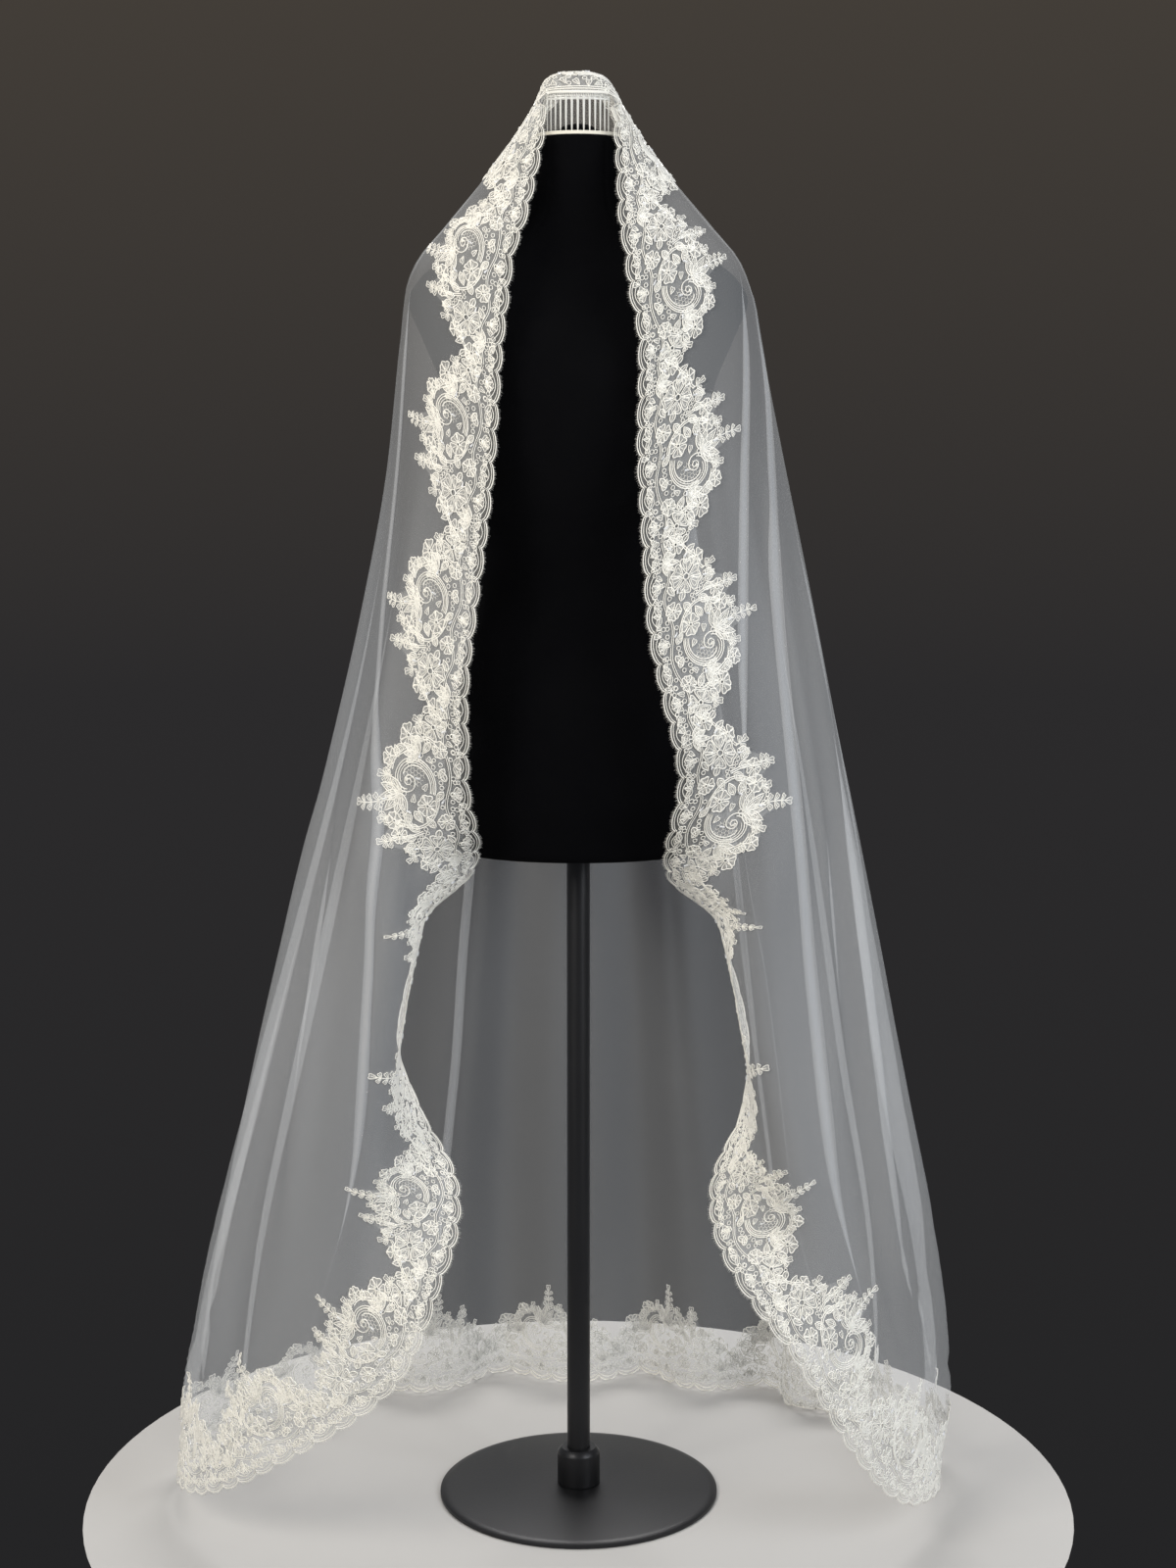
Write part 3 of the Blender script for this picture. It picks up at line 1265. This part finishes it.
def tulle_row(hang, counts):
    """Angles from the back centre and lifts of one row of the open tulle, from left edge to right."""
    radius = float(mean_radius(hang))
    angles, widths = pleat_state(float(by_hang("height", hang)))
    edges = []
    for column in ("edge_left", "edge_right"):
        step = 0.002
        turn = abs(float(by_hang(column, hang + step)) - float(by_hang(column, hang - step)))
        slope = math.radians(turn) * radius / (2.0 * step)
        inset = TULLE_EDGE_INSET * math.sqrt(1.0 + slope ** 2)
        inset = inset * float(smooth_step((hang - COMB_HANG) / 0.03))
        edges.append(180.0 - float(by_hang(column, hang)) - math.degrees(inset / radius))
    row = [(-edges[0], 0.0)]
    lift = 0.0
    for index, (angle, width) in enumerate(zip(angles, widths)):
        half = math.degrees(float(width) / 2.0 / radius)
        row += fill_row(row[-1][0], float(angle) - half, counts[index], lift)
        gap = PLEAT_LAYER_GAP * min(1.0, float(width) / PLEAT_FULL_WIDTH)
        for side, layer in PLEAT_LAYERS:
            row.append((float(angle) + side * half, gap * layer))
        lift = gap * PLEAT_LAYERS[-1][1]
    row += fill_row(row[-1][0], edges[1], counts[-1], lift)
    return row


def fill_row(start, end, count, lift):
    """Points between two angles, the lift of the pleat before them fading away."""
    points = []
    for step in range(1, count + 1):
        share = step / count
        points.append((start + (end - start) * share, lift * (1.0 - min(1.0, share * 3.0)) ** 2))
    return points


def make_tulle(materials):
    """The tulle: a closed crown over the comb, and below it one open sheet with its pressed pleats."""
    radius = float(mean_radius(float(hang_at(PLEAT_COUNT_HEIGHT))))
    angles, _ = pleat_state(PLEAT_COUNT_HEIGHT)
    stops = [TULLE_STOPS[0]] + [float(angle) for angle in angles] + [TULLE_STOPS[1]]
    spans = np.radians(np.diff(stops)) * radius
    counts = [max(6, int(span / TULLE_COLUMN_SPACING)) for span in spans]
    dome = COMB_HANG * np.linspace(0.0, 1.0, DOME_ROWS + 1)[1:]
    fine_hang = float(hang_at(TULLE_FINE_HEIGHT))
    last_hang = HANG_LENGTH - TULLE_EDGE_INSET
    upper = np.arange(COMB_HANG + 0.005, fine_hang, TULLE_ROW_SPACING)
    lower = np.arange(fine_hang, last_hang, TULLE_ROW_SPACING / 3.0)
    hangs = np.concatenate((dome, upper, lower, [last_hang]))
    rows = np.array([tulle_row(max(hang, COMB_HANG), counts) for hang in hangs])
    turned, lifts = rows[..., 0], rows[..., 1]
    angle = np.where(turned < 0.0, -1.0, 1.0) * (180.0 - np.abs(turned))
    places = cloth_place(angle, hangs[:, None] + 0.0 * angle, lifts)
    columns = places.shape[1]
    faces = grid_faces(len(rows), columns)
    arc = np.linspace(COMB_EDGE_ANGLE, -COMB_EDGE_ANGLE, FRONT_ARC_COLUMNS)[1:-1]
    front = cloth_place(np.tile(arc, (DOME_ROWS, 1)), np.tile(dome[:, None], (1, len(arc))))
    crown = cloth_place(np.array(180.0), np.array(0.0))
    points = np.concatenate((places.reshape(-1, 3), front.reshape(-1, 3), [crown]))
    first_front = places.size // 3
    apex = len(points) - 1
    above = None
    for row in range(DOME_ROWS):
        start = first_front + row * len(arc)
        ring = [row * columns + columns - 1, *range(start, start + len(arc)), row * columns]
        if above is None:
            whole = list(range(columns)) + ring[1:-1] + [0]
            faces += [(apex, start, end) for start, end in zip(whole[:-1], whole[1:])]
        else:
            faces += [(a, c, d, b) for a, b, c, d in zip(above[:-1], above[1:], ring[:-1], ring[1:])]
        above = ring
    points[:, 2] = np.maximum(points[:, 2], FLOOR_CLEARANCE)
    tulle = add_piece("tulle_sheet", points, faces, materials["tulle"], "tulle")
    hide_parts("tulle")
    line = border_line()


def tube_faces(rings, sides):
    """Faces of a closed bar whose points are listed ring by ring."""
    faces = []
    for ring in range(rings - 1):
        for side in range(sides):
            after = (side + 1) % sides
            low = ring * sides
            faces.append((low + side, low + after, low + sides + after, low + sides + side))
    faces.append(tuple(range(sides - 1, -1, -1)))
    faces.append(tuple((rings - 1) * sides + side for side in range(sides)))
    return faces


def tube(line, radii, sides, flatness=1.0):
    """A closed round bar along a line; flatness squeezes it along the outward direction."""
    line = np.asarray(line, float)
    radii = np.broadcast_to(radii, len(line))[:, None]
    along = unit_vectors(np.gradient(line, axis=0))
    outside = line * (1.0, 1.0, 0.0)
    facing = unit_vectors(outside - along * np.sum(outside * along, axis=1, keepdims=True))
    across = np.cross(along, facing)
    points = []
    for turn in np.linspace(0.0, 2.0 * math.pi, sides, endpoint=False):
        points.append(line + (across * math.cos(turn) + facing * math.sin(turn) * flatness) * radii)
    return np.stack(points, axis=1).reshape(-1, 3), tube_faces(len(line), sides)


def comb_place(angle, height, inset=COMB_INSET):
    """A place on the comb's curve by its angle from the front centre."""
    hang = hang_at(COMB_TOP)
    turn = np.radians(angle)
    half_width = float(by_hang("left", hang)) - inset
    depth = float(by_hang("front", hang)) - inset
    return np.stack((half_width * np.sin(turn), -depth * np.cos(turn), height + 0.0 * turn), axis=-1)


def make_comb(materials):
    """The clear comb: a ribbed back with rounded, tapered teeth, and the thread that sews it on."""
    pitch = 2.0 * COMB_HALF_ANGLE / COMB_TEETH
    reach = COMB_HALF_ANGLE - pitch * (1.0 - COMB_ROOT_SHARE) / 2.0
    angles = np.linspace(-reach, reach, 61)
    meshes = []
    for height, radius in COMB_BACK_BARS:
        meshes.append(tube(comb_place(angles, height), radius, 10, COMB_FLATNESS))
    heights = np.linspace(COMB_TOP - COMB_TOOTH_DROP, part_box("comb")[0][2], 13)
    radii = COMB_TOOTH_RADIUS * np.linspace(1.0, COMB_TOOTH_TAPER, len(heights))
    radii[-1] *= 0.35
    radii[-2] *= 0.85
    for tooth in range(COMB_TEETH):
        middle = -COMB_HALF_ANGLE + (tooth + 0.5) * pitch
        line = comb_place(np.full(len(heights), middle), heights)
        meshes.append(tube(line, radii, 10, COMB_FLATNESS))
    comb = add_piece("comb_teeth", *join_meshes(meshes), materials["comb"], "comb")
    turns = np.linspace(0.0, 1.0, WHIPPING_TURNS * 8)
    swing = 2.0 * math.pi * WHIPPING_TURNS * turns
    height = COMB_TOP - 0.0016 + 0.0026 * np.sin(swing)
    inset = COMB_INSET + 0.0012 * np.cos(swing)
    places = comb_place(-reach + 2.0 * reach * turns, height, inset)
    add_piece("comb_thread", *tube(places, WHIPPING_RADIUS, 5), materials["cord"], "lace")
    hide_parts("comb")


def form_section(height):
    """Half width, front depth and back depth of the form at a height."""
    return [by_form(column, height) - FORM_INSET for column in ("half_width", "front", "back")]


def by_form(column, height):
    """A column of the form's sections, read along the same smooth loft as the solid's."""
    shares = np.linspace(0.0, len(FORM_SECTIONS) - 1.0, 200)
    rows = np.arange(len(FORM_SECTIONS), dtype=float)
    known = table(FORM_COLUMNS, FORM_SECTIONS)
    heights = smooth_values(shares, rows, known["height"])
    return np.interp(height, heights, smooth_values(shares, rows, known[column]))


def make_form(materials):
    """The velvet form: panels of cloth joined by sunk seams, over one smooth body."""
    low, high = FORM_SECTIONS[0][0], FORM_SECTIONS[-1][0]
    foot = (low, low + 0.0015, low + 0.005)
    heights = np.concatenate((foot, np.linspace(low + 0.012, high - 0.006, 110), (high - 0.002, high)))
    rounding = {0: 0.004, 1: 0.0015, len(heights) - 1: 0.003}
    angles = np.linspace(-180.0, 180.0, 145)[:-1]
    turn = np.radians(angles)
    points = []
    for index, height in enumerate(heights):
        half_width, front, back = form_section(height)
        depth = np.where(np.cos(turn) > 0.0, front, back)
        sunk = np.full(len(angles), rounding.get(index, 0.0))
        for seam in FORM_SEAMS:
            bend = seam * (1.0 - FORM_SEAM_BEND * math.sin(math.pi * (height - low) / (high - low)))
            away = np.radians(np.abs(wrapped(angles - bend))) * half_width
            sunk += FORM_SEAM_DEPTH * np.exp(-(away / FORM_SEAM_WIDTH) ** 2)
        x = (half_width - sunk) * np.sin(turn)
        y = -(depth - sunk) * np.cos(turn)
        points.append(np.stack((x, y, np.full(len(angles), height)), axis=-1))
    faces = tube_faces(len(heights), len(angles))
    form = add_piece("form_body", np.concatenate(points), faces, materials["velvet"], "velvet")
    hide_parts("dress_form")


def lathe(name, profile, material, slot, node):
    """A turned piece in place of a plain node, its profile as radius and height from the top down."""
    turns = np.linspace(0.0, 2.0 * math.pi, LATHE_SIDES, endpoint=False)
    points = []
    for radius, height in profile:
        ring = (radius * np.cos(turns), radius * np.sin(turns), np.full(LATHE_SIDES, height))
        points.append(np.stack(ring, axis=-1))
    faces = [tuple(reversed(face)) for face in tube_faces(len(profile), LATHE_SIDES)]
    piece = add_piece(name, np.concatenate(points), faces, material, slot)
    piece.data.set_sharp_from_angle(angle=math.radians(30.0))
    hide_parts(node)


def rounded(radius, top, bottom, edge):
    """Profile of a disc or drum with a rounded rim at its top and a small one at its foot."""
    profile = [(radius * 0.02, top), (radius - edge, top)]
    for step in range(1, 5):
        turn = math.pi / 2.0 * step / 4.0
        profile.append((radius - edge + edge * math.sin(turn), top - edge + edge * math.cos(turn)))
    profile += [(radius, bottom + edge * 0.3), (radius - edge * 0.3, bottom), (radius * 0.02, bottom)]
    return profile


def make_stand(materials):
    """The neck's pale ring and velvet button, and the pole, collar and round base."""
    low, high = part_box("neck_ring")
    lathe("neck_disc", rounded(high[0], high[2], low[2], 0.0012), materials["pale"], "neck_ring", "neck_ring")
    low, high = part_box("neck_cap")
    cap = [(high[0] * 0.02, high[2])]
    for step in range(1, 12):
        turn = math.pi / 2.0 * step / 12.0
        cap.append((high[0] * math.sin(turn), low[2] + (high[2] - low[2]) * math.cos(turn)))
    cap += [(high[0], low[2]), (high[0] * 0.02, low[2])]
    lathe("neck_button", cap, materials["velvet"], "velvet", "neck_cap")
    low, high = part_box("stand_base")
    base = [(0.001, high[2]), (COLLAR_FOOT, high[2]), (high[0] * 0.94, high[2] * 0.64)]
    base += [(high[0] * 0.985, high[2] * 0.52), (high[0], high[2] * 0.36), (high[0], 0.0008)]
    base += [(high[0] - 0.0008, 0.0), (0.001, 0.0)]
    lathe("base_plate", base, materials["metal"], "metal", "stand_base")
    low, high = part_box("stand_pole")
    lathe("pole_tube", rounded(high[0], high[2], low[2], 0.0006), materials["metal"], "metal", "stand_pole")
    inner = high[0] + 0.0003
    low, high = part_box("stand_collar")
    collar = [(inner, high[2]), (high[0] * 0.80, high[2]), (high[0] * 0.86, high[2] - 0.0014)]
    collar += [(high[0] * 0.985, high[2] - 0.0055), (high[0], high[2] - 0.0075), (high[0], low[2] + 0.0006)]
    collar += [(high[0] - 0.0006, low[2]), (inner, low[2])]
    lathe("pole_collar", collar, materials["metal"], "metal", "stand_collar")


def node(tree, kind, **inputs):
    """A shader node with some of its inputs set."""
    made = tree.nodes.new(kind)
    for name, value in inputs.items():
        made.inputs[name.replace("_", " ")].default_value = value
    return made


def add_noise(tree, **inputs):
    """The output of a noise that lies still on its object."""
    place = tree.nodes.new("ShaderNodeTexCoord")
    noise = node(tree, "ShaderNodeTexNoise", **inputs)
    tree.links.new(place.outputs["Object"], noise.inputs["Vector"])
    return noise.outputs["Fac"]


def add_mix(tree, share, colour):
    """A mix of colours by an output, its first colour set."""
    mix = tree.nodes.new("ShaderNodeMix")
    mix.data_type = "RGBA"
    mix.inputs[6].default_value = (*colour, 1.0)
    tree.links.new(share, mix.inputs[0])
    return mix


def make_material(name, colour, roughness, bump, variation, **settings):
    """A procedural finish: a base colour with soft variation, and a fine bump."""
    material = bpy.data.materials.new(name)
    material.use_nodes = True
    tree = material.node_tree
    shader = tree.nodes["Principled BSDF"]
    shader.inputs["Base Color"].default_value = (*colour, 1.0)
    shader.inputs["Roughness"].default_value = roughness
    for socket, value in settings.items():
        shader.inputs[socket.replace("_", " ")].default_value = value
    scale, other = variation
    mix = add_mix(tree, add_noise(tree, Scale=scale, Detail=3.0, Roughness=0.55), colour)
    mix.inputs[7].default_value = (*other, 1.0)
    tree.links.new(mix.outputs[2], shader.inputs["Base Color"])
    if bump:
        scale, strength, distance = bump
        relief = node(tree, "ShaderNodeBump", Strength=strength, Distance=distance)
        tree.links.new(add_noise(tree, Scale=scale, Detail=2.0, Roughness=0.6), relief.inputs["Height"])
        tree.links.new(relief.outputs["Normal"], shader.inputs["Normal"])
    return material


def make_materials():
    """Every finish of the scene: name, colour, roughness, bump, variation and further settings."""
    return {
        "tulle": make_material(
            "tulle_net", (0.86, 0.87, 0.88), 0.62, (900, 0.25, 0.0004), (7, (0.80, 0.82, 0.85)),
            Alpha=0.16, Sheen_Weight=0.25, Sheen_Roughness=0.4,
        ),
        "net": make_material(
            "lace_net", (0.88, 0.87, 0.83), 0.62, (900, 0.25, 0.0004), (9, (0.82, 0.82, 0.80)),
            Alpha=0.14, Sheen_Weight=0.2, Sheen_Roughness=0.4,
        ),
        "cord": make_material(
            "lace_cord", (0.92, 0.89, 0.81), 0.48, (1500, 0.5, 0.0005), (14, (0.86, 0.84, 0.79)),
            Sheen_Weight=0.3, Sheen_Roughness=0.4,
        ),
        "filling": make_material(
            "lace_filling", (0.86, 0.84, 0.77), 0.6, (1200, 0.6, 0.0006), (12, (0.80, 0.79, 0.75)),
            Alpha=0.26, Sheen_Weight=0.2, Sheen_Roughness=0.4,
        ),
        "bead": make_material(
            "clear_bead", (0.96, 0.96, 0.97), 0.06, None, (40, (0.90, 0.91, 0.94)), Alpha=0.7, IOR=1.5,
        ),
        "comb": make_material(
            "clear_plastic", (0.80, 0.79, 0.74), 0.12, (60, 0.15, 0.0004), (30, (0.84, 0.84, 0.82)),
            Alpha=0.55, IOR=1.49,
        ),
        "velvet": make_material(
            "black_velvet", (0.0045, 0.0045, 0.005), 0.95, (700, 0.6, 0.0008), (6, (0.002, 0.002, 0.0025)),
            Sheen_Weight=0.03, Sheen_Roughness=0.35, Specular_IOR_Level=0.0,
        ),
        "pale": make_material(
            "pale_felt", (0.78, 0.74, 0.64), 0.85, (500, 0.6, 0.0008), (20, (0.72, 0.68, 0.58)),
            Sheen_Weight=0.2,
        ),
        "metal": make_material(
            "black_metal", (0.028, 0.028, 0.030), 0.38, (240, 0.25, 0.0004), (12, (0.020, 0.020, 0.022)),
            Metallic=0.7,
        ),
        "floor": make_material(
            "pale_floor", (0.46, 0.45, 0.44), 0.85, (30, 0.1, 0.001), (3, (0.42, 0.41, 0.40)),
        ),
    }


def add_light(name, place, target, width, height, power, colour):
    """A soft rectangular lamp aimed at a point."""
    lamp = bpy.data.lights.new(name, "AREA")
    lamp.shape = "RECTANGLE"
    lamp.size = width
    lamp.size_y = height
    lamp.energy = power
    lamp.color = colour
    made = bpy.data.objects.new(name, lamp)
    made.location = place
    made.rotation_euler = (Vector(target) - Vector(place)).to_track_quat("-Z", "Y").to_euler()
    bpy.context.scene.collection.objects.link(made)


def make_floor(material):
    """A round pale floor under the stand."""
    mesh = bpy.data.meshes.new("floor")
    turns = np.linspace(0.0, 2.0 * math.pi, 96, endpoint=False)
    ring = np.stack((FLOOR_RADIUS * np.cos(turns), FLOOR_RADIUS * np.sin(turns), 0.0 * turns), axis=-1)
    mesh.from_pydata(ring.tolist(), [], [tuple(range(len(turns)))])
    mesh.materials.append(material)
    floor = bpy.data.objects.new("floor", mesh)
    bpy.context.scene.collection.objects.link(floor)


def make_surround():
    """Even soft light from all sides, and a dark surround for what the camera sees behind."""
    world = bpy.data.worlds.new("surround")
    world.use_nodes = True
    tree = world.node_tree
    rays = tree.nodes.new("ShaderNodeLightPath")
    mix = add_mix(tree, rays.outputs["Is Camera Ray"], AMBIENT)
    place = tree.nodes.new("ShaderNodeTexCoord")
    split = tree.nodes.new("ShaderNodeSeparateXYZ")
    span = tree.nodes.new("ShaderNodeMapRange")
    span.inputs["From Min"].default_value = SURROUND_SPAN[0]
    span.inputs["From Max"].default_value = SURROUND_SPAN[1]
    ramp = tree.nodes.new("ShaderNodeValToRGB")
    while len(ramp.color_ramp.elements) < len(SURROUND):
        ramp.color_ramp.elements.new(0.5)
    for stop, (share, colour) in zip(ramp.color_ramp.elements, SURROUND):
        stop.position = share
        stop.color = (*colour, 1.0)
    tree.links.new(place.outputs["Generated"], split.inputs["Vector"])
    tree.links.new(split.outputs["Z"], span.inputs["Value"])
    tree.links.new(span.outputs["Result"], ramp.inputs["Fac"])
    tree.links.new(ramp.outputs["Color"], mix.inputs[7])
    tree.links.new(mix.outputs[2], tree.nodes["Background"].inputs["Color"])
    bpy.context.scene.world = world


def make_camera():
    """The camera at the photograph's angle."""
    view = bpy.data.cameras.new("camera")
    view.lens = CAMERA_LENS
    view.sensor_fit = "VERTICAL"
    view.sensor_height = SENSOR
    camera = bpy.data.objects.new("camera", view)
    camera.location = CAMERA_PLACE
    camera.rotation_euler = (math.radians(CAMERA_TILT), 0.0, 0.0)
    bpy.context.scene.collection.objects.link(camera)
    bpy.context.scene.camera = camera
    bpy.context.scene.view_settings.view_transform = "Standard"


def main():
    """The whole scene."""
    materials = make_materials()
    make_form(materials)
    make_stand(materials)
    make_comb(materials)
    make_tulle(materials)
    make_lace(LaceChart(), materials)
    make_floor(materials["floor"])
    for lamp in LAMPS:
        add_light(*lamp)
    make_surround()
    make_camera()


main()
